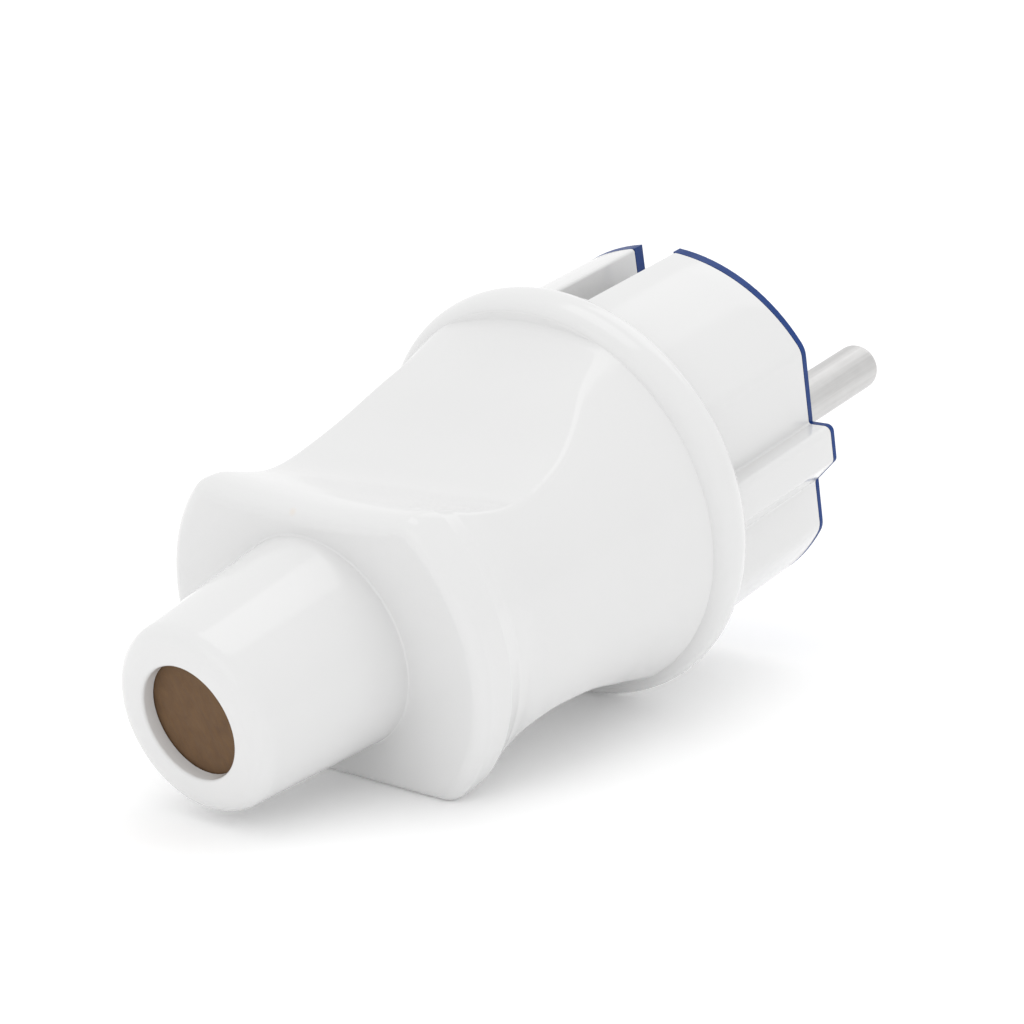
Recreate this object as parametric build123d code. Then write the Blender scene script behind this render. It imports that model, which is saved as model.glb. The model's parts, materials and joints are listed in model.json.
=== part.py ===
from build123d import *
import os
from math import sin, cos, tan, asin, atan2, degrees, radians, sqrt, hypot

# Two-pole plug with side earth contacts: a one-piece white handle moulding,
# a blue contact insert that closes its nose, two round pins, and the fittings
# inside.  Modelled about its own axis (X, pins forward, x = 0 at the face),
# then laid down as it rests: on the rim bead and on the lower tail edge.
# All lengths in millimetres.

os.makedirs("parts", exist_ok=True)

# ---- driving dimensions ------------------------------------------------
PIN_D = 4.8                 # contact pin diameter
PIN_LEN = 19.2              # pin length in front of the face
PIN_PITCH = 19.0            # between pin axes
COLLAR_R = 3.0              # collar behind the face that seats each pin
NOSE_R = 18.64              # round part of the nose
FLAT_Y = 16.10              # side flats, half width
RIB_Y = 18.49               # outer face of the guide ribs, half width
RIB_TOP, RIB_LOW, RIB_FOOT = 1.80, -1.9, -4.3
SLOT_HALF = 2.33            # earth slots, half width
SLOT_END = -15.7            # rear end of the earth slots
SLOT_FLOOR = 13.5
SEAM, SEAM_Y, SEAM_Z = 1.22, 0.028, 0.0095   # blue edge, a little out of square
BEAD_X, BEAD_R, BEAD_RHO = -20.8, 21.01, 3.3  # rim bead
BACK_X = -55.46             # rear face of the tail
TAIL_R = 18.45
TAIL_FLAT = 13.58           # flats above and below the tail, half height
MOUTH_X = -72.13            # mouth of the cord entry
NOZ_R0, NOZ_R1 = 8.65, 10.21 # neck, at its mouth and at its root
BORE_R, SEAT_R = 5.28, 5.48 # cord entry, and the groove for its disc
DISC_X, DISC_T = -70.67, 0.68  # card disc: outer face and thickness
CAV_R, CAV_Y, CAV_Z = 16.2, 13.8, 13.9        # hollow of the nose
HAND_Y, HAND_Z, HAND_X = 12.6, 7.3, -47.0     # hollow of the handle
LEDGE_X = -20.5             # where the nose hollow steps down
SCREW_Z = 10.8              # assembly screws above and below the axis
STRIP_Z = 14.9              # outer face of the earth contacts
STRIP_T = 0.8
STRIP_X = -14.4             # front face of the strip's cross leg
PLATE_T = 2.6               # face plate of the insert
CLAMP_X, CLAMP_Y = -39.0, 8.6                 # cord clamp screws


# ---- helpers -----------------------------------------------------------
def p3(x, z):
    return Vector(x, 0, z)


def line(a, b):
    return Line(p3(*a), p3(*b))


def arc(a, m, b):
    return ThreePointArc(p3(*a), p3(*m), p3(*b))


def path(points):
    """Edges through (x, z, r) corners, each rounded to its radius r."""
    edges, last = [], (points[0][0], points[0][1])
    for (ax, az, _), (px, pz, r), (bx, bz, _) in zip(points, points[1:], points[2:]):
        if r <= 0:
            edges.append(line(last, (px, pz)))
            last = (px, pz)
            continue
        ua, ub = hypot(ax - px, az - pz), hypot(bx - px, bz - pz)
        u = ((ax - px) / ua, (az - pz) / ua)
        v = ((bx - px) / ub, (bz - pz) / ub)
        half = (atan2(abs(u[0] * v[1] - u[1] * v[0]), u[0] * v[0] + u[1] * v[1])) / 2
        t = r / tan(half)
        w = (u[0] + v[0], u[1] + v[1])
        wl = hypot(*w)
        k = (r / sin(half) - r) / wl
        s, e = (px + u[0] * t, pz + u[1] * t), (px + v[0] * t, pz + v[1] * t)
        edges += [line(last, s), arc(s, (px + w[0] * k, pz + w[1] * k), e)]
        last = e
    edges.append(line(last, (points[-1][0], points[-1][1])))
    return edges


def face_of(edges):
    return Face(Wire(edges))


def prism(face_yz, x0, x1):
    """Extrude a sketch drawn on the YZ plane from x0 to x1."""
    return extrude(Plane.YZ.offset(x0) * face_yz, amount=x1 - x0)


def cyl(x0, x1, r, y=0.0, z=0.0):
    return Pos(x0, y, z) * extrude(Plane.YZ * Circle(r), amount=x1 - x0)


def cyl_z(z0, z1, r, x, y):
    return Pos(x, y, z0) * extrude(Plane.XY * Circle(r), amount=z1 - z0)


def block(x0, x1, y0, y1, z0, z1):
    return Pos((x0 + x1) / 2, (y0 + y1) / 2, (z0 + z1) / 2) * Box(x1 - x0, y1 - y0, z1 - z0)


# ---- handle moulding: outside ------------------------------------------
bx, bz, br = BEAD_X, BEAD_R - BEAD_RHO, BEAD_RHO
cove = 0.8                                   # cove between body and bead
fa, fb = (-27.5, 18.35), (-23.6, 19.38)      # flare of the handle towards the bead
fl = hypot(fb[0] - fa[0], fb[1] - fa[1])
fu = ((fb[0] - fa[0]) / fl, (fb[1] - fa[1]) / fl)
ox, oz = fa[0] - cove * fu[1] - bx, fa[1] + cove * fu[0] - bz
along = -(ox * fu[0] + oz * fu[1])
along -= sqrt(along ** 2 - (ox ** 2 + oz ** 2) + (br + cove) ** 2)
cx, cz = bx + ox + along * fu[0], bz + oz + along * fu[1]
foot = (fa[0] + along * fu[0], fa[1] + along * fu[1])
on_bead = (bx + br * (cx - bx) / (br + cove), bz + br * (cz - bz) / (br + cove))
mx, mz = (foot[0] + on_bead[0]) / 2 - cx, (foot[1] + on_bead[1]) / 2 - cz
mid_cove = (cx + cove * mx / hypot(mx, mz), cz + cove * mz / hypot(mx, mz))

turned = path([
    (MOUTH_X, 0, 0),
    (MOUTH_X, NOZ_R0, 1.8),
    (BACK_X, NOZ_R1, 0.5),
    (BACK_X, TAIL_R, 0),
    (-51.3, TAIL_R, 0),                      # front edge of the tail
    (-50.5, 16.98, 0.9),
    (-46.0, 17.04, 30.0),
    (-34.0, 17.80, 60.0),
    (fa[0], fa[1], 20.0),
    (foot[0], foot[1], 0),
])
turned += [
    arc(foot, mid_cove, on_bead),
    arc(on_bead, (bx, BEAD_R), (bx + br, bz)),
    line((bx + br, bz), (bx + br, 0)),
    line((bx + br, 0), (MOUTH_X, 0)),
]
body = revolve(face_of(turned), Axis.X)

# finger scoop above and below, straight across the handle
lip_x = -54.4                                # where the tail's flat ends
wall_x = -24.2
root = (-26.2, 15.74)
root_dir = (1.0, 0.36)
ra = atan2(root_dir[1], root_dir[0])
r_root = (wall_x - root[0]) / (1 - sin(ra))
rc = (wall_x - r_root, root[1] + r_root * cos(ra))
am = (ra + asin(1)) / 2
scoop = [
    Spline([p3(lip_x, TAIL_FLAT), p3(-52.8, 13.42), p3(-51.4, 12.95), p3(-50.0, 12.2),
            p3(-48.5, 11.47), p3(-47.0, 10.92), p3(-45.0, 10.42), p3(-43.2, 10.24),
            p3(-41.4, 10.3), p3(-39.7, 10.55), p3(-36.7, 11.2), p3(-34.3, 12.0),
            p3(-32.2, 12.95), p3(-29.9, 14.1), p3(-28.0, 15.0), p3(*root)],
           tangents=[(1, 0, 0), (root_dir[0], 0, root_dir[1])]),
    arc(root, (rc[0] + r_root * sin(am), rc[1] - r_root * cos(am)), (wall_x, rc[1])),
    line((wall_x, rc[1]), (wall_x, 30)),
    line((wall_x, 30), (-62, 30)),
    line((-62, 30), (-62, TAIL_FLAT)),
    line((-62, TAIL_FLAT), (lip_x, TAIL_FLAT)),
]
scoop_cut = extrude(face_of(scoop), amount=25, dir=(0, 1, 0), both=True)
neck_keep = cyl(MOUTH_X - 2, BACK_X, 12)
body = body - (scoop_cut - neck_keep) - (mirror(scoop_cut, Plane.XY) - neck_keep)



def mid(e):
    return e.position_at(0.5)


# soften the edge round the rear face of the tail
rear = [e for e in body.edges() if abs(mid(e).X - BACK_X) < 0.01
        and hypot(mid(e).Y, mid(e).Z) > 12.5]
TAIL_ROUND = 1.0
body = fillet(rear, TAIL_ROUND)


def nose_round():
    """Round nose with side flats, on YZ."""
    s = Circle(NOSE_R) & Rectangle(2 * FLAT_Y, 60)
    return fillet(s.vertices(), 2.4)


def nose_outline():
    """The same with guide ribs and open earth slots."""
    s = nose_round()
    rib = Polyline((12, RIB_TOP), (RIB_Y, RIB_TOP), (RIB_Y, RIB_LOW),
                   (FLAT_Y, RIB_FOOT), (12, RIB_FOOT), close=True)
    rib = make_face(rib)
    outer = [v for v in rib.vertices() if v.X > RIB_Y - 0.01]
    rib = fillet(outer, 0.7)
    s = s + rib + mirror(rib, Plane.YZ)
    for sgn in (1, -1):
        s = s - Pos(0, sgn * (SLOT_FLOOR + 10)) * Rectangle(2 * SLOT_HALF, 20)
    return s


# ---- handle moulding: nose and hollows ---------------------------------
seam = Plane(origin=(-SEAM, 0, 0), x_dir=(0, 1, -SEAM_Y / max(SEAM_Z, 1e-9)),
             z_dir=(1, SEAM_Y, SEAM_Z))
outline = nose_outline()
nose = prism(outline, SLOT_END, 3.0) + prism(
    nose_round() + outline, -19.0, SLOT_END)
nose = split(nose, bisect_by=seam, keep=Keep.BOTTOM)
housing = body + nose
housing -= prism(Circle(CAV_R) & Rectangle(2 * CAV_Y, 2 * CAV_Z), LEDGE_X, 4.0)
housing -= prism(RectangleRounded(2 * HAND_Y, 2 * HAND_Z, 2.0), HAND_X, LEDGE_X + 0.5)
for sgn in (1, -1):
    housing -= block(SLOT_END, 4, -SLOT_HALF, SLOT_HALF,
                     min(sgn * 12, sgn * 30), max(sgn * 12, sgn * 30))
    housing -= cyl(-27.5, LEDGE_X + 0.5, 2.5, z=sgn * SCREW_Z)
housing -= cyl(MOUTH_X - 1, DISC_X - 0.1, BORE_R)
housing -= cyl(DISC_X - 0.15, DISC_X + DISC_T + 0.02, SEAT_R)   # groove the disc snaps into
housing -= cyl(DISC_X + DISC_T - 0.1, HAND_X + 1, 4.6)

# ---- blue contact insert -----------------------------------------------
plate = split(prism(outline, -6.0, 0.0), bisect_by=seam, keep=Keep.TOP)
front = [e for e in plate.edges() if abs(mid(e).X) < 1e-4 and abs(e.tangent_at(0.5).X) < 1e-4]
plate = chamfer(front, 0.2)
plug_in = Circle(CAV_R - 0.15) & Rectangle(2 * (CAV_Y - 0.15), 2 * (CAV_Z - 0.15))
insert = plate + prism(plug_in, -PLATE_T, -0.4)
insert += block(STRIP_X, -PLATE_T + 0.2, -5.2, 5.2, -13.0, 13.0)          # middle web
insert += block(STRIP_X + 0.5, -PLATE_T + 0.2, -1.9, 1.9, -14.05, 14.05)  # under the contacts
for sgn in (1, -1):
    y0, y1 = sorted((sgn * 5.0, sgn * 12.8))
    insert += block(STRIP_X, -PLATE_T + 0.2, y0, y1, -7.0, -3.7)          # pin shelf
    y0, y1 = sorted((sgn * 7.0, sgn * 12.0))
    insert += block(STRIP_X, -13.6, y0, y1, -4.0, -1.9)                   # pin stop
    y0, y1 = sorted((sgn * 5.6, sgn * 9.6))
    insert += block(-35.0, STRIP_X + 0.5, y0, y1, -7.0, -4.8)             # arm to the clamp
    insert += cyl_z(-6.0, -2.6, 3.0, CLAMP_X, sgn * CLAMP_Y)
insert += block(-44.0, -34.0, -11.2, 11.2, -7.0, -4.8)                    # clamp bed
# lightening pockets in the web, open to the rear
for sgn in (1, -1):
    z0, z1 = sorted((sgn * 3.4, sgn * 8.3))
    insert -= block(STRIP_X - 1, -4.2, -3.8, 3.8, z0, z1)
for sgn in (1, -1):
    insert -= cyl(-8, 1, PIN_D / 2 + 0.03, y=sgn * PIN_PITCH / 2)
    insert -= cyl(-8, -0.6, COLLAR_R + 0.03, y=sgn * PIN_PITCH / 2)
    insert -= cyl(STRIP_X - 1, 1, 1.6, z=sgn * SCREW_Z)
    insert -= cyl(-2.3, 1, 2.9, z=sgn * SCREW_Z)
    insert -= cyl_z(-8, -2, 1.5, CLAMP_X, sgn * CLAMP_Y)
insert -= cyl(STRIP_X - 1, -9.0, 2.0)

# ---- pins ---------------------------------------------------------------
def pin(y):
    shank = cyl(-4.0, PIN_LEN, PIN_D / 2 - 0.2) + cyl(-4.0, -0.62, COLLAR_R)
    shank += cyl(0.3, PIN_LEN, PIN_D / 2)         # relief groove at the face, then full size
    tip = [e for e in shank.edges() if abs(mid(e).X - PIN_LEN) < 0.01]
    shank = fillet(tip, 1.2)
    lug = block(-13.5, -PLATE_T - 0.03, -3.5, 3.5, -3.5, 3.5)
    lug = chamfer(lug.edges().filter_by(Axis.X), 0.5)
    body = shank + lug
    body -= cyl(-14, -5.5, 1.6)                   # wire hole
    body -= cyl_z(0, 5, 1.5, -9.0, 0)             # thread for the clamp screw
    return Pos(0, y, 0) * body


# ---- fasteners ----------------------------------------------------------
def screw(length, d, head_d, head_h):
    """Slotted cheese-head screw along -Z, underside of the head at z = 0."""
    head = extrude(Circle(head_d / 2), amount=head_h)
    head = fillet(head.edges().group_by(Axis.Z)[-1], 0.35)
    head -= Pos(0, 0, head_h) * Box(head_d + 1, 0.8, 1.8)
    shank = Pos(0, 0, -length) * extrude(Circle(d / 2), amount=length + 0.2)
    shank = chamfer(shank.edges().group_by(Axis.Z)[0], 0.3)
    return head + shank


def screw_z(x, y, z, *dims):
    return Pos(x, y, z) * screw(*dims)


def screw_x(x, z, *dims):
    """Head forward, shank running back along -X."""
    return Pos(x, 0, z) * (Rot(0, 90, 0) * screw(*dims))


def bush(z):
    b = cyl(LEDGE_X - 6.0, LEDGE_X, 2.49, z=z)
    return b - cyl(LEDGE_X - 7, LEDGE_X + 1, 1.49, z=z)


# ---- earth strip --------------------------------------------------------
zo, xr = STRIP_Z, STRIP_X - STRIP_T
outer = path([(-1.2, zo, 0), (xr, zo, 1.2), (xr, -zo, 1.2), (-1.2, -zo, 0)])
zi = zo - STRIP_T
inner = path([(-1.2, -zi, 0), (STRIP_X, -zi, 0.4), (STRIP_X, zi, 0.4), (-1.2, zi, 0)])
band = face_of(outer + [line((-1.2, -zo), (-1.2, -zi))] + inner + [line((-1.2, zi), (-1.2, zo))])
strip = extrude(band, amount=1.95, dir=(0, 1, 0), both=True)
strip += block(xr, STRIP_X, -4.2, 4.2, -12.8, 12.8)
for sgn in (1, -1):
    strip -= cyl(-17, -14, 1.7, z=sgn * SCREW_Z)
strip -= cyl(-17, -14, 1.75)
ends = [e for e in strip.edges() if abs(mid(e).X + 1.2) < 0.01 and abs(abs(mid(e).Z) - zo) < 0.01]
strip = chamfer(ends, 0.4)

washer = block(xr - 1.0, xr, -3.8, 3.8, -3.8, 3.8)
washer = chamfer(washer.edges().filter_by(Axis.X), 0.6) - cyl(-18, -15, 1.85)
earth_screw = Pos(xr - 1.0, 0, 0) * (Rot(0, -90, 0) * screw(6.4, 3.4, 6.2, 2.0))

# ---- cord clamp ---------------------------------------------------------
bar = block(CLAMP_X - 3, CLAMP_X + 3, -11.4, 11.4, -2.6, -0.6)
bar = fillet(bar.edges().filter_by(Axis.Z), 1.5)
bar += block(CLAMP_X - 2, CLAMP_X + 2, -3.2, 3.2, -3.4, -2.5)
for sgn in (1, -1):
    bar -= cyl_z(-4, 1, 1.65, CLAMP_X, sgn * CLAMP_Y)

disc = cyl(DISC_X, DISC_X + DISC_T, SEAT_R - 0.02)

nodes = {
    "housing": housing,
    "contact_insert": insert,
    "line_pin": pin(PIN_PITCH / 2),
    "neutral_pin": pin(-PIN_PITCH / 2),
    "line_terminal_screw": screw_z(-9.0, PIN_PITCH / 2, 3.5, 3.2, 2.96, 5.2, 1.9),
    "neutral_terminal_screw": screw_z(-9.0, -PIN_PITCH / 2, 3.5, 3.2, 2.96, 5.2, 1.9),
    "earth_strip": strip,
    "earth_clamp_washer": washer,
    "earth_terminal_screw": earth_screw,
    "assembly_screw_upper": screw_x(-2.3, SCREW_Z, 23.5, 2.96, 5.4, 2.0),
    "assembly_screw_lower": screw_x(-2.3, -SCREW_Z, 23.5, 2.96, 5.4, 2.0),
    "threaded_bush_upper": bush(SCREW_Z),
    "threaded_bush_lower": bush(-SCREW_Z),
    "cord_clamp_bar": bar,
    "cord_clamp_screw_left": screw_z(CLAMP_X, CLAMP_Y, -0.6, 6.0, 2.96, 5.4, 2.0),
    "cord_clamp_screw_right": screw_z(CLAMP_X, -CLAMP_Y, -0.6, 6.0, 2.96, 5.4, 2.0),
    "cord_entry_disc": disc,
}

# ---- lie down: common tangent under the bead and the tail edge ----------
tx, tz = BACK_X + TAIL_ROUND, -(TAIL_FLAT - TAIL_ROUND)
ux, uz = bx - tx, -bz - tz
PITCH = degrees(atan2(-uz, ux) + asin((br - TAIL_ROUND) / hypot(ux, uz)))
laid = {k: Rot(0, -PITCH, 0) * v for k, v in nodes.items()}
boxes = [v.bounding_box(optimal=True) for v in laid.values()]
lo = [min(getattr(b.min, a) for b in boxes) for a in "XYZ"]
hi = [max(getattr(b.max, a) for b in boxes) for a in "XYZ"]
shift = Pos(-(lo[0] + hi[0]) / 2, -(lo[1] + hi[1]) / 2, -lo[2])
for name, shape in laid.items():
    export_step(shift * shape, f"parts/{name}.step")
print("pitch", round(PITCH, 4), "shift", [round(v, 4) for v in shift.position])
print("size", [round(h - l, 3) for l, h in zip(lo, hi)])
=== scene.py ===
import bpy, bmesh, json, math
import numpy as np
from mathutils import Matrix, Vector


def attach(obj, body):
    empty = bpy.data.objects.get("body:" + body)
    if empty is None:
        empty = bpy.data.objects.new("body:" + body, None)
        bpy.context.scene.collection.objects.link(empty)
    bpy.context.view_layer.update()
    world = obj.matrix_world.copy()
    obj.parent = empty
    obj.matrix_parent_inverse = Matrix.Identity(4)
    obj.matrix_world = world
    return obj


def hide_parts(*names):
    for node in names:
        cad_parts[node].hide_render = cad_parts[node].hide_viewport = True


# Two-pole earthed plug lying on its rim bead and on the lower edge of its tail.
# The white handle moulding is meshed here with its soft moulded edges; the other
# pieces show their own solids.  Shapes are drawn about the plug's axis in
# millimetres (X to the pins, x = 0 at the face) and then laid down.

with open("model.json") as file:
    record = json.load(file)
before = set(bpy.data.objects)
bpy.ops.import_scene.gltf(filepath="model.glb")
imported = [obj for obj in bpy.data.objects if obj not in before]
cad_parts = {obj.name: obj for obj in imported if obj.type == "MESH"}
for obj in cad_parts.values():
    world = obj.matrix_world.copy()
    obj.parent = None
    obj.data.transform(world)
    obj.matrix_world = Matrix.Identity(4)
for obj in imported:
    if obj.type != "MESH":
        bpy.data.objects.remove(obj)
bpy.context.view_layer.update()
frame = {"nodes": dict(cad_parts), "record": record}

PITCH = math.radians(12.5389)
SHIFT = Vector((26.4717, 0.0, 25.1033))
LAY = Matrix.Translation(SHIFT) @ Matrix.Rotation(-PITCH, 4, "Y")
TO_ROW = Matrix.Scale(0.001, 4) @ LAY


# ---- small geometry helpers ------------------------------------------------
def rounded(points, n=10):
    """Polyline through (u, v, r) corners, each corner turned with radius r."""
    out = [np.array(points[0][:2], float)]
    for a, p, b in zip(points, points[1:], points[2:]):
        pa, pp, pb = (np.array(q[:2], float) for q in (a, p, b))
        r = p[2]
        if r <= 0:
            out.append(pp)
            continue
        u, v = pa - pp, pb - pp
        u, v = u / np.hypot(*u), v / np.hypot(*v)
        half = math.acos(max(-1.0, min(1.0, float(u @ v)))) / 2
        w = (u + v) / np.hypot(*(u + v))
        c = pp + w * (r / math.sin(half))
        s, e = pp + u * (r / math.tan(half)), pp + v * (r / math.tan(half))
        a0, a1 = math.atan2(*(s - c)[::-1]), math.atan2(*(e - c)[::-1])
        turn = (a1 - a0 + math.pi) % (2 * math.pi) - math.pi
        for t in np.linspace(0, 1, n + 1):
            out.append(c + r * np.array([math.cos(a0 + turn * t), math.sin(a0 + turn * t)]))
    out.append(np.array(points[-1][:2], float))
    return np.array(out)


def spline(points, d0, d1, n=12):
    """Cubic through the points with the two end slopes given, as a polyline."""
    p = np.array(points, float)
    x, y = p[:, 0], p[:, 1]
    h = np.diff(x)
    k = len(x)
    A, B = np.zeros((k, k)), np.zeros(k)
    A[0, 0] = A[-1, -1] = 1.0
    B[0], B[-1] = d0, d1
    for i in range(1, k - 1):
        A[i, i - 1], A[i, i], A[i, i + 1] = 1 / h[i - 1], 2 / h[i - 1] + 2 / h[i], 1 / h[i]
        B[i] = 3 * ((y[i] - y[i - 1]) / h[i - 1] ** 2 + (y[i + 1] - y[i]) / h[i] ** 2)
    m = np.linalg.solve(A, B)
    out = []
    for i in range(k - 1):
        t = np.linspace(0, 1, n, endpoint=False)
        q = (2 * t**3 - 3 * t**2 + 1) * y[i] + (t**3 - 2 * t**2 + t) * h[i] * m[i]
        q = q + (3 * t**2 - 2 * t**3) * y[i + 1] + (t**3 - t**2) * h[i] * m[i + 1]
        out += list(zip(x[i] + t * h[i], q))
    return out + [(x[-1], y[-1])]


def turn(cx, cz, r, a0, a1, n):
    a = np.radians(np.linspace(a0, a1, n + 1))
    return [(cx + r * math.cos(t), cz + r * math.sin(t)) for t in a]


def away(px, pz, poly):
    """Distance of points from a polyline."""
    best = np.full(px.shape, 1e9)
    for (ax, az), (bx, bz) in zip(poly[:-1], poly[1:]):
        dx, dz = bx - ax, bz - az
        l2 = dx * dx + dz * dz
        if l2 < 1e-14:
            continue
        t = np.clip(((px - ax) * dx + (pz - az) * dz) / l2, 0, 1)
        best = np.minimum(best, np.hypot(px - ax - t * dx, pz - az - t * dz))
    return best


def soft_and(a, b, k):
    """Where both hold: the meeting edge rounded to about radius k."""
    ap, bp = np.maximum(a + k, 0), np.maximum(b + k, 0)
    return np.minimum(np.maximum(a, b) + k, 0) + np.hypot(ap, bp) - k


# ---- sizes -------------------------------------------------------------------
BACK_X, TAIL_R, TAIL_FLAT, RIM = -55.46, 18.45, 13.58, 1.0
MOUTH_X, NOZ_R0, NOZ_R1 = -72.12, 8.65, 10.21
BX, BZ, BR = -20.8, 17.71, 3.295
FLARE_A, FLARE_B = (-27.5, 18.42), (-23.6, 19.50)
BACK_A, BACK_R = 106.0, 2.1                    # bead's tighter turn behind
NOSE_R, FLAT_Y, RIB_Y = 18.64, 16.10, 18.49
RIB_TOP, RIB_LOW, RIB_FOOT = 1.80, -1.9, -4.3
SLOT_HALF, SLOT_END = 2.33, -15.7
SEAM, SEAM_Y, SEAM_Z = 1.22, 0.028, 0.0095
BORE_R, SEAT_R, DISC_X, DISC_T = 5.28, 5.48, -70.67, 0.68

# side of the handle as turned: tail band and its front edge, waist, flare, bead
def on_bead(a):
    """Section of the bead: one round in front, a tighter one behind."""
    a, b = math.radians(a), math.radians(BACK_A)
    if a < b:
        return BX + BR * math.cos(a), BZ + BR * math.sin(a)
    return (BX + (BR - BACK_R) * math.cos(b) + BACK_R * math.cos(a),
            BZ + (BR - BACK_R) * math.sin(b) + BACK_R * math.sin(a))


def over_flare(a):
    x, r = on_bead(a)
    return (r - FLARE_A[1]) * (FLARE_B[0] - FLARE_A[0]) - (x - FLARE_A[0]) * (FLARE_B[1] - FLARE_A[1])


bead_a, low_a = 110.0, 175.0                  # where the flare runs into the bead
for _ in range(50):
    mid = (bead_a + low_a) / 2
    bead_a, low_a = (mid, low_a) if over_flare(mid) > 0 else (bead_a, mid)
bead = np.array([on_bead(a) for a in np.linspace(bead_a, 0, 56)])
WALL_X = bead[0, 0] - 0.06
side = np.concatenate([rounded([(-57.0, TAIL_R, 0), (-51.6, TAIL_R, 0.6), (-49.6, 17.74, 2.5), (-46.5, 17.16, 10.0),
                                (-34.0, 17.79, 60.0), (*FLARE_A, 20.0), (*bead[0], 0)], 12), bead[1:]])

# finger scoop: tail flat, rounded crest, hollow, long rise, root of the bead
ra = math.atan2(0.36, 1.0)
r_root = (WALL_X + 23.65) / (1 - math.sin(ra))
rc = (WALL_X - r_root, 16.66 + r_root * math.cos(ra))
scoop = [(-62.0, TAIL_FLAT)]
scoop += spline([(-54.6, TAIL_FLAT), (-53.2, 13.50), (-52.0, 13.19), (-50.5, 12.59), (-49.0, 11.95), (-47.5, 11.33),
                 (-46.0, 10.80), (-44.5, 10.43), (-43.0, 10.26), (-41.4, 10.3), (-39.7, 10.55), (-36.7, 11.2), (-34.3, 12.0),
                 (-32.2, 12.95), (-29.9, 14.1), (-28.0, 15.0), (-26.2, 15.74), (-24.55, 16.34), (-23.65, 16.66)], 0.0, 0.36, 8)
scoop += turn(rc[0], rc[1], r_root, math.degrees(ra) - 90, 0, 16)[1:]
scoop_h = np.array(scoop)
scoop = np.array(scoop + [(WALL_X, 30.0)])


def in_turned(x, r):
    d = away(x, r, side)
    return np.where(r < np.interp(x, side[:, 0], side[:, 1]), -d, d)


def in_scoop(x, z):
    d = away(x, z, scoop)
    cut = (x < WALL_X) & (z > np.interp(x, scoop_h[:, 0], scoop_h[:, 1]))
    return np.where(cut, d, -d)


def edge_round(x):
    """Softness of the scoop's side edges along the handle."""
    return np.interp(x, [-54, -51.8, -49.5, -30, -26.5, -24, -23], [0.7, 0.6, 0.3, 0.27, 0.3, 0.4, 0.4])


def saddle(x, y):
    """Shallow hollow across the top of the tail."""
    t = np.clip((x + 54.4) / 9.0, 0, 1)
    u = np.minimum(np.abs(y) / 12.6, 1)
    return 0.7 * (1 - t * t * (3 - 2 * t)) * (1 - u * u) ** 1.2


# ---- handle: rings of points along the plug, columns round it -----------------
N1, N2, N3 = 12, 12, 20


def columns(xs):
    """Angles from the vertical, one row per ring, gathered along the scoop's edge."""
    h = np.interp(xs, scoop_h[:, 0], scoop_h[:, 1], right=99)
    r = np.interp(xs, side[:, 0], side[:, 1])
    c = np.degrees(np.arccos(np.clip(h / r, -1, 1)))
    c = np.maximum(c, 17.0)
    rows = []
    for a in c:
        w = 3.2
        rows.append(np.concatenate([
            np.linspace(0, a - w, N1, endpoint=False),
            np.linspace(a - w, a + w, N2, endpoint=False),
            np.linspace(a + w, 90, N3 + 1)]))
    return np.radians(np.array(rows))


def section(X, psi, hollow):
    """Radius of the handle at each ring and column."""
    lo, hi = np.full(X.shape, 6.0), np.full(X.shape, 21.5)
    k = edge_round(X)
    for _ in range(26):
        m = (lo + hi) / 2
        inside = soft_and(in_turned(X, m), in_scoop(X, m * np.cos(psi) + hollow * saddle(X, m * np.sin(psi))), k) < 0
        lo, hi = np.where(inside, m, lo), np.where(inside, hi, m)
    return (lo + hi) / 2


xs = np.concatenate([
    np.linspace(BACK_X + RIM, -52.0, 6, endpoint=False),
    np.linspace(-52.0, -50.2, 46, endpoint=False),
    np.linspace(-50.2, -47.6, 14, endpoint=False),
    np.linspace(-47.6, -26.4, 44, endpoint=False),
    np.linspace(-26.4, WALL_X - 0.02, 34, endpoint=False),
    np.linspace(WALL_X - 0.02, bead[0, 0], 12, endpoint=False)])
psi = columns(xs)
t = np.clip((np.radians(52) - psi[0]) / np.radians(18), 0, 1)
t = t * t * (3 - 2 * t)
rim_u, rim_l = 1.35 + 0.45 * t, 1.35 - (1.35 - RIM) * t      # rear edge, softer along the top
fade = np.clip((-51.8 - xs) / (-51.8 - xs[0]), 0, 1)
x_up, x_low = (xs[:, None] + fade[:, None] * (r - RIM) for r in (rim_u, rim_l))
upper, lower = section(x_up, psi, 1.0), section(x_low, psi, 0.0)
crown = 0.6 * np.clip((xs + 28.4) / (WALL_X + 28.4), 0, 1)[:, None] ** 2      # the scoop's end swells to the bead
full = np.interp(xs, side[:, 0], side[:, 1])[:, None]
upper, lower = (r + crown * np.maximum(full - r, 0) for r in (upper, lower))
rings = []                                    # (angles, x above, radii above, x below, radii below)
flat = np.ones(psi.shape[1])

# neck, from the middle of its mouth to the foot of the rear face
neck = rounded([(MOUTH_X, 3.0, 0), (MOUTH_X, NOZ_R0, 1.8), (BACK_X, NOZ_R1, 0.22), (BACK_X, 13.0, 0)], 14)
cone = [i for i in range(len(neck) - 1) if neck[i + 1, 0] - neck[i, 0] > 5][0]
neck = np.concatenate([neck[:cone + 1],
                       neck[cone] + (neck[cone + 1] - neck[cone]) * np.linspace(0, 1, 26)[1:-1, None],
                       neck[cone + 1:-1]])
for x, r in neck:
    rings.append((psi[0], x * flat, r * flat, x * flat, r * flat))

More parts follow.
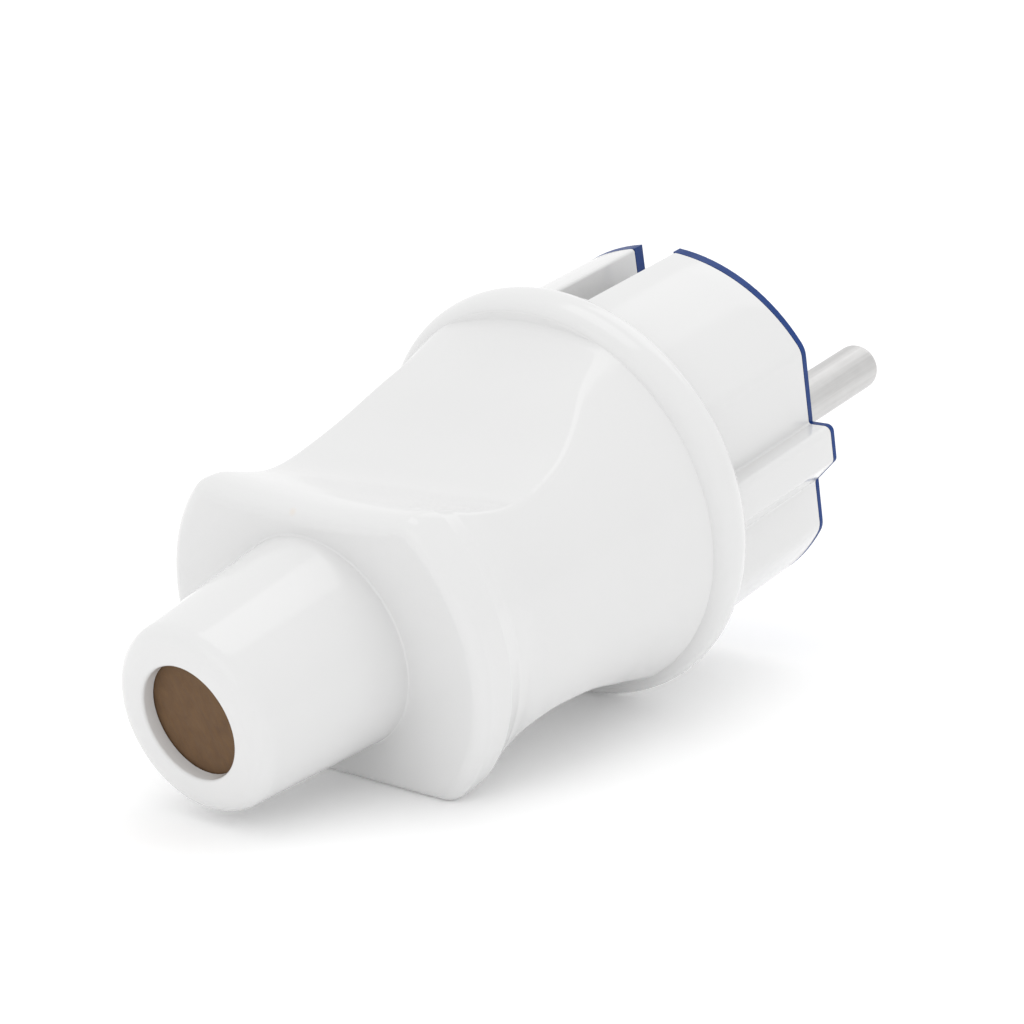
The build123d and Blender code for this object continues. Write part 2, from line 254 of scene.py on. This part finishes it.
# rear face, then the soft rim round it
foot = neck[-1, 1]
lean_u, lean_l = (1 / np.sqrt(1 + (np.gradient(r[0], psi[0]) / r[0]) ** 2) for r in (upper, lower))
for t in np.linspace(0, 1, 10)[1:-1]:
    rings.append((psi[0], BACK_X * flat, foot + (upper[0] - rim_u / lean_u - foot) * t,
                  BACK_X * flat, foot + (lower[0] - rim_l / lean_l - foot) * t))
for f in np.radians(np.linspace(90, 0, 14)[:-1]):
    rings.append((psi[0], BACK_X + rim_u * (1 - math.sin(f)), upper[0] - rim_u * (1 - math.cos(f)) / lean_u,
                  BACK_X + rim_l * (1 - math.sin(f)), lower[0] - rim_l * (1 - math.cos(f)) / lean_l))
for i in range(len(xs)):
    rings.append((psi[i], x_up[i], upper[i], x_low[i], lower[i]))
for x, r in bead:
    rings.append((psi[-1], x * flat, r * flat, x * flat, r * flat))
rings.append((psi[-1], bead[-1, 0] * flat, 9.0 * flat, bead[-1, 0] * flat, 9.0 * flat))


def shell(name, rings):
    verts, faces = [], []
    for p, xu, u, xl, l in rings:
        full_p = np.concatenate([p, math.pi - p[-2::-1], math.pi + p[1:], 2 * math.pi - p[-2:0:-1]])
        full_r = np.concatenate([u, l[-2::-1], l[1:], u[-2:0:-1]])
        full_x = np.concatenate([xu, xl[-2::-1], xl[1:], xu[-2:0:-1]])
        verts += [(x, q * math.sin(a), q * math.cos(a)) for x, a, q in zip(full_x, full_p, full_r)]
    n = len(verts) // len(rings)
    for i in range(len(rings) - 1):
        for j in range(n):
            k = (j + 1) % n
            faces.append((i * n + j, i * n + k, (i + 1) * n + k, (i + 1) * n + j))
    a, b = len(verts), len(verts) + 1
    verts += [(rings[0][1][0], 0, 0), (rings[-1][1][0], 0, 0)]
    last = (len(rings) - 1) * n
    for j in range(n):
        k = (j + 1) % n
        faces += [(a, k, j), (b, last + j, last + k)]
    return solid(name, verts, faces)


def solid(name, verts, faces):
    me = bpy.data.meshes.new(name)
    me.from_pydata([tuple(map(float, v)) for v in verts], [], faces)
    bm = bmesh.new()
    bm.from_mesh(me)
    bmesh.ops.recalc_face_normals(bm, faces=bm.faces[:])
    bm.to_mesh(me)
    bm.free()
    ob = bpy.data.objects.new(name, me)
    bpy.context.scene.collection.objects.link(ob)
    return ob


def loft(name, loops):
    """Closed solid through loops of equal count, flat at both ends."""
    n = len(loops[0])
    verts = [v for l in loops for v in l]
    faces = [tuple(range(n)), tuple(range((len(loops) - 1) * n, len(loops) * n))]
    for i in range(len(loops) - 1):
        for j in range(n):
            k = (j + 1) % n
            faces.append((i * n + j, i * n + k, (i + 1) * n + k, (i + 1) * n + j))
    return solid(name, verts, faces)


def inset(loop, d):
    """Loop of (y, z) moved inwards by d."""
    p = np.asarray(loop)
    a, b = p - np.roll(p, 1, 0), np.roll(p, -1, 0) - p
    na = np.stack([-a[:, 1], a[:, 0]], 1) / np.hypot(*a.T)[:, None]
    nb = np.stack([-b[:, 1], b[:, 0]], 1) / np.hypot(*b.T)[:, None]
    m = na + nb
    m = m / (m * na).sum(1)[:, None]
    area = 0.5 * np.sum(p[:, 0] * np.roll(p[:, 1], -1) - np.roll(p[:, 0], -1) * p[:, 1])
    return p + m * d * (1 if area > 0 else -1)


def around(r, a0, a1, gap, n):
    """Points on the nose's round part, angle measured from the vertical."""
    a = np.radians(np.linspace(a0 + gap, a1 - gap, n))
    return [(r * math.sin(t), r * math.cos(t), 0) for t in a]


def nose_loop(slots):
    a1 = math.degrees(math.asin(FLAT_Y / NOSE_R))
    zf = math.sqrt(NOSE_R**2 - FLAT_Y**2)
    half = []
    if slots:
        a0 = math.degrees(math.asin(SLOT_HALF / NOSE_R))
        zs = math.sqrt(NOSE_R**2 - SLOT_HALF**2)
        half += [(0, 12.0, 0), (SLOT_HALF, 12.0, 0), (SLOT_HALF, zs, 0.32)]
        half += around(NOSE_R, a0, a1, 2.2, 26)
    else:
        half += [(0, NOSE_R, 0)] + around(NOSE_R, 0, a1, 2.2, 30)
    half += [(FLAT_Y, zf, 2.4), (FLAT_Y, RIB_TOP, 0.25), (RIB_Y, RIB_TOP, 0.7), (RIB_Y, RIB_LOW, 0.7),
             (FLAT_Y, RIB_FOOT, 0.5), (FLAT_Y, -zf, 2.4)]
    if slots:
        half += around(NOSE_R, 180 - a1, 180 - a0, 2.2, 26)
        half += [(SLOT_HALF, -zs, 0.32), (SLOT_HALF, -12.0, 0), (0, -12.0, 0)]
    else:
        half += around(NOSE_R, 180 - a1, 180, 2.2, 30) + [(0, -NOSE_R, 0)]
    h = rounded(half, 6)
    return np.concatenate([h, [(-y, z) for y, z in h[-2:0:-1]]])


def at(loop, x):
    return [(x, y, z) for y, z in loop]


def at_seam(loop, back):
    return [(-(SEAM + SEAM_Y * y + SEAM_Z * z) - back, y, z) for y, z in loop]


slotted, plain = nose_loop(True), nose_loop(False)
SR = 0.14                                      # softened edge where the blue insert meets
front = [at_seam(inset(slotted, SR * (1 - math.cos(f))), SR * (1 - math.sin(f)))
         for f in np.radians([0, 22.5, 45, 67.5, 90])]
nose_front = loft("nose_front", [at(slotted, SLOT_END - 0.3), at(slotted, -12), at(slotted, -8), at(slotted, -4)] + front)
nose_rear = loft("nose_rear", [at(plain, -19.0), at(plain, SLOT_END)])
handle = shell("housing_skin", rings)


def ring_pts(r, n=96, y=0.0, z=0.0):
    a = np.linspace(0, 2 * math.pi, n, endpoint=False)
    return [(y + r * math.cos(t), z + r * math.sin(t)) for t in a]


def lathe_cut(name, prof, n=128, y=0.0, z=0.0):
    return loft(name, [at(ring_pts(r, n, y, z), x) for x, r in prof])


cavity_half = [(0, 13.9)] + [(16.2 * math.sin(t), 16.2 * math.cos(t)) for t in np.linspace(
    math.asin(math.sqrt(16.2**2 - 13.9**2) / 16.2), math.asin(13.8 / 16.2), 14)]
q = np.array(cavity_half)
cav = np.concatenate([q, (q * [1, -1])[::-1], (q * [-1, -1])[1:], (q * [-1, 1])[::-1][:-1]])
box = rounded([(12.6, 0, 0), (12.6, 7.3, 2.0), (-12.6, 7.3, 2.0), (-12.6, -7.3, 2.0), (12.6, -7.3, 2.0), (12.6, 0, 0)], 6)[:-1]
cuts = [
    loft("cut_nose", [at(cav, -20.5), at(cav, 4.0)]),
    loft("cut_handle", [at(box, -47.0), at(box, -20.0)]),
    lathe_cut("cut_bush_u", [(-27.5, 2.5), (-20.0, 2.5)], 48, 0, 10.8),
    lathe_cut("cut_bush_l", [(-27.5, 2.5), (-20.0, 2.5)], 48, 0, -10.8),
    lathe_cut("cut_bore", [(MOUTH_X - 1.5, BORE_R + 0.30), (MOUTH_X - 0.01, BORE_R + 0.30), (MOUTH_X + 0.03, BORE_R + 0.18),
                           (MOUTH_X + 0.11, BORE_R + 0.075), (MOUTH_X + 0.21, BORE_R + 0.015), (MOUTH_X + 0.32, BORE_R), (DISC_X - 0.15, BORE_R),
                           (DISC_X - 0.15, SEAT_R), (DISC_X + DISC_T + 0.02, SEAT_R),
                           (DISC_X + DISC_T + 0.02, 4.6), (-46.0, 4.6)]),
]


def combine(ob, tool, how):
    m = ob.modifiers.new("join", "BOOLEAN")
    m.operation, m.solver, m.object = how, "EXACT", tool
    dg = bpy.context.evaluated_depsgraph_get()
    me = bpy.data.meshes.new_from_object(ob.evaluated_get(dg))
    ob.modifiers.clear()
    old, ob.data = ob.data, me
    bpy.data.meshes.remove(old)
    old = tool.data
    bpy.data.objects.remove(tool)
    bpy.data.meshes.remove(old)


combine(nose_rear, nose_front, "UNION")
combine(handle, nose_rear, "UNION")
for tool in cuts:
    combine(handle, tool, "DIFFERENCE")

bm = bmesh.new()
bm.from_mesh(handle.data)
bmesh.ops.remove_doubles(bm, verts=bm.verts[:], dist=1e-4)
bmesh.ops.dissolve_degenerate(bm, edges=bm.edges[:], dist=1e-5)
bmesh.ops.triangulate(bm, faces=[f for f in bm.faces if len(f.verts) > 4])
for f in bm.faces:
    f.smooth = True
for e in bm.edges:
    e.smooth = not (len(e.link_faces) == 2 and e.calc_face_angle(0.0) > math.radians(28))
bm.to_mesh(handle.data)
bm.free()
handle.data.transform(TO_ROW)
handle.data.name = "housing_skin"


# ---- finishes ----------------------------------------------------------------
class Nodes:
    def __init__(self, name):
        self.m = bpy.data.materials.new(name)
        self.m.use_nodes = True
        self.t = self.m.node_tree
        self.p = self.t.nodes["Principled BSDF"]
        self.co = self.add("ShaderNodeTexCoord").outputs["Object"]

    def add(self, kind, **inputs):
        n = self.t.nodes.new(kind)
        for k, v in inputs.items():
            s = n.inputs[k.replace("_", " ")]
            if isinstance(v, bpy.types.NodeSocket):
                self.t.links.new(v, s)
            else:
                s.default_value = v
        return n

    def link(self, a, b):
        self.t.links.new(a, b)

    def noise(self, scale, detail=2.0, rough=0.5, co=None):
        n = self.add("ShaderNodeTexNoise", Scale=scale, Detail=detail, Roughness=rough)
        self.link(co or self.co, n.inputs["Vector"])
        return n.outputs["Fac"]

    def stretch(self, scale, turn=(0, 0, 0)):
        n = self.add("ShaderNodeMapping")
        n.inputs["Rotation"].default_value = turn
        self.link(self.co, n.inputs["Vector"])
        m = self.add("ShaderNodeMapping")
        m.inputs["Scale"].default_value = scale
        self.link(n.outputs["Vector"], m.inputs["Vector"])
        return m.outputs["Vector"]

    def ramp(self, fac, *stops):
        n = self.add("ShaderNodeValToRGB")
        self.link(fac, n.inputs["Fac"])
        e = n.color_ramp.elements
        while len(e) < len(stops):
            e.new(0.5)
        for s, (pos, col) in zip(e, stops):
            s.position = pos
            s.color = (*col, 1) if len(col) == 3 else (col[0],) * 3 + (1,)
        return n.outputs["Color"]

    def span(self, fac, lo, hi, f0=0.0, f1=1.0):
        n = self.add("ShaderNodeMapRange")
        self.link(fac, n.inputs["Value"])
        for k, v in (("From Min", f0), ("From Max", f1), ("To Min", lo), ("To Max", hi)):
            n.inputs[k].default_value = v
        return n.outputs["Result"]

    def bump(self, height, strength, dist, under=None):
        n = self.add("ShaderNodeBump", Strength=strength, Distance=dist)
        self.link(height, n.inputs["Height"])
        if under is not None:
            self.link(under, n.inputs["Normal"])
        return n.outputs["Normal"]

    def mix(self, fac, a, b, how="MIX"):
        n = self.t.nodes.new("ShaderNodeMix")
        n.data_type, n.blend_type = "RGBA", how
        if isinstance(fac, bpy.types.NodeSocket):
            self.link(fac, n.inputs[0])
        else:
            n.inputs[0].default_value = fac
        for s, v in ((n.inputs[6], a), (n.inputs[7], b)):
            if isinstance(v, bpy.types.NodeSocket):
                self.link(v, s)
            else:
                s.default_value = (*v, 1)
        return n.outputs[2]

    def set(self, **kw):
        for k, v in kw.items():
            s = self.p.inputs[k.replace("_", " ")]
            if isinstance(v, bpy.types.NodeSocket):
                self.link(v, s)
            else:
                s.default_value = v


def white_moulding():
    n = Nodes("white_moulding")
    cloud = n.ramp(n.noise(60, 2, 0.5), (0.3, (0.716, 0.716, 0.715)), (0.7, (0.724, 0.724, 0.723)))
    specks = n.add("ShaderNodeTexVoronoi", Scale=420.0)
    n.link(n.co, specks.inputs["Vector"])
    spot = n.ramp(specks.outputs["Distance"], (0.0, (0.4,)), (0.05, (0,)))
    few = n.ramp(n.noise(260, 1), (0.64, (0,)), (0.68, (1,)))
    fac = n.mix(1.0, spot, few, "MULTIPLY")
    col = n.mix(fac, cloud, (0.48, 0.46, 0.43))
    k = 1 / 0.00050                               # a small tan mark on the tail's edge
    at_mark = TO_ROW @ Vector((-55.1, 0.9, 12.3))
    place = n.add("ShaderNodeMapping", Vector=n.co)
    place.inputs["Scale"].default_value = (k, k, k)
    place.inputs["Location"].default_value = -k * at_mark
    mark = n.add("ShaderNodeTexGradient", Vector=place.outputs["Vector"])
    mark.gradient_type = "SPHERICAL"
    col = n.mix(n.ramp(mark.outputs["Fac"], (0.0, (0,)), (0.7, (0.22,))), col, (0.74, 0.58, 0.42))
    n.set(Base_Color=col, Roughness=n.span(n.noise(60, 1), 0.12, 0.15, 0.3, 0.7))
    n.set(Normal=n.bump(n.noise(1500, 2), 0.03, 0.00003))
    return n.m


def blue_moulding():
    n = Nodes("blue_moulding")
    col = n.ramp(n.noise(500, 3), (0.3, (0.004, 0.034, 0.165)), (0.7, (0.008, 0.043, 0.200)))
    n.set(Base_Color=col, Roughness=n.span(n.noise(700, 3), 0.36, 0.5, 0.3, 0.7), Specular_IOR_Level=0.22)
    n.set(Normal=n.bump(n.noise(1600, 2), 0.15, 0.00005))
    return n.m


def metal(name, dark, light, r0, r1, turned=True):
    n = Nodes(name)
    grain = n.noise(1.0, 3, 0.6, n.stretch((14000.0, 700.0, 700.0) if turned else (70.0, 3600.0, 3600.0), (0, PITCH, 0)))
    fine = n.noise(1.0, 2, 0.6, n.stretch((160.0, 7000.0, 7000.0), (0, PITCH, 0)))
    blot = n.noise(450, 3, 0.6)
    col = n.mix(0.3, n.ramp(grain, (0.32, dark), (0.68, light)), n.ramp(blot, (0.35, dark), (0.65, light)))
    n.set(Base_Color=col, Metallic=1.0, Roughness=n.span(fine, r0, r1, 0.25, 0.75))
    n.set(Normal=n.bump(fine, 0.12, 0.00003, n.bump(blot, 0.10, 0.00005)))
    return n.m


def brown_card():
    n = Nodes("brown_card")
    fibre = n.noise(1.0, 4, 0.65, n.stretch((900.0, 2600.0, 700.0), (0.4, 0, 0.2)))
    blot = n.noise(650, 4, 0.6)
    col = n.mix(0.5, n.ramp(fibre, (0.3, (0.096, 0.050, 0.021)), (0.72, (0.166, 0.092, 0.041))),
                n.ramp(blot, (0.3, (0.104, 0.055, 0.024)), (0.7, (0.151, 0.085, 0.039))))
    n.set(Base_Color=col, Roughness=n.span(fibre, 0.75, 0.95, 0.3, 0.7))
    n.set(Normal=n.bump(fibre, 0.35, 0.00012, n.bump(blot, 0.25, 0.00015)))
    return n.m


finish = {
    "white_moulding": white_moulding(),
    "blue_moulding": blue_moulding(),
    "nickel_plate": metal("nickel_plate", (0.55, 0.545, 0.54), (0.635, 0.63, 0.625), 0.33, 0.44, False),
    "zinc_steel": metal("zinc_steel", (0.50, 0.51, 0.53), (0.63, 0.64, 0.66), 0.28, 0.42),
    "bare_brass": metal("bare_brass", (0.60, 0.42, 0.16), (0.74, 0.56, 0.26), 0.25, 0.4),
    "brown_card": brown_card(),
}


def paint(ob, slot):
    ob.data.materials.clear()
    ob.data.materials.append(finish[slot])


slots = {s["node"]: s["material_slot"] for s in frame["record"]["subparts"]}
for name, ob in frame["nodes"].items():
    paint(ob, slots[name])
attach(handle, "root")
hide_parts("housing")
paint(handle, "white_moulding")

# ---- floor, light, camera ----------------------------------------------------
me = bpy.data.meshes.new("floor")
S = 12.0
me.from_pydata([(-S, -S, 0), (S, -S, 0), (S, S, 0), (-S, S, 0)], [], [(0, 1, 2, 3)])
floor = bpy.data.objects.new("floor", me)
bpy.context.scene.collection.objects.link(floor)
n = Nodes("floor_white")
n.set(Base_Color=n.ramp(n.noise(6, 2), (0.3, (0.940, 0.940, 0.940)), (0.7, (0.950, 0.950, 0.950))),
      Roughness=0.8, Specular_IOR_Level=0.1, Emission_Color=(1, 1, 1, 1), Emission_Strength=0.09)
me.materials.append(n.m)

scene = bpy.context.scene
world = bpy.data.worlds.new("studio")
world.use_nodes = True
world.node_tree.nodes["Background"].inputs["Color"].default_value = (1, 1, 1, 1)
world.node_tree.nodes["Background"].inputs["Strength"].default_value = 1.02
scene.world = world
scene.view_settings.view_transform = "Standard"
scene.view_settings.look = "None"


def lamp(name, pos, aim, size, watts, size_y=None):
    l = bpy.data.lights.new(name, "AREA")
    l.energy, l.size = watts, size
    if size_y:
        l.shape, l.size_y = "RECTANGLE", size_y
    o = bpy.data.objects.new(name, l)
    o.location = pos
    o.rotation_euler = (Vector(aim) - Vector(pos)).to_track_quat("-Z", "Y").to_euler()
    scene.collection.objects.link(o)
    return o


lamp("softbox", (0.66, 0.06, 0.58), (0, 0, 0.02), 0.45, 0.32, 0.5)
lamp("rear_fill", (-0.95, -0.10, 0.38), (0, 0, 0.02), 0.7, 0.45, 0.6)
lamp("overhead", (0.0, 0.0, 1.2), (0, 0, 0.02), 0.8, 1.75, 0.8)

R = np.array([[0.6199982933791812, -0.7724886421753208, -0.13734414409442952],
              [-0.38040797811351384, -0.14286098211267567, -0.9137179597542064],
              [0.6862156267489765, 0.6187503838382085, -0.38243440758590014]])
T = np.array([17.50114418926535, -9.6446767283718, 272.64773512116244])
eye = TO_ROW @ Vector((-R.T @ T).tolist())
turned_R = np.array(LAY.to_3x3()) @ R.T
cam = bpy.data.cameras.new("camera")
cam.sensor_fit, cam.sensor_width, cam.lens = "HORIZONTAL", 36.0, 2664.1417 / 1024 * 36
cam.clip_start, cam.clip_end = 0.01, 50
camera = bpy.data.objects.new("camera", cam)
scene.collection.objects.link(camera)
axes = Matrix((turned_R[:, 0], -turned_R[:, 1], -turned_R[:, 2])).transposed().to_4x4()
camera.matrix_world = Matrix.Translation(eye) @ axes
scene.camera = camera
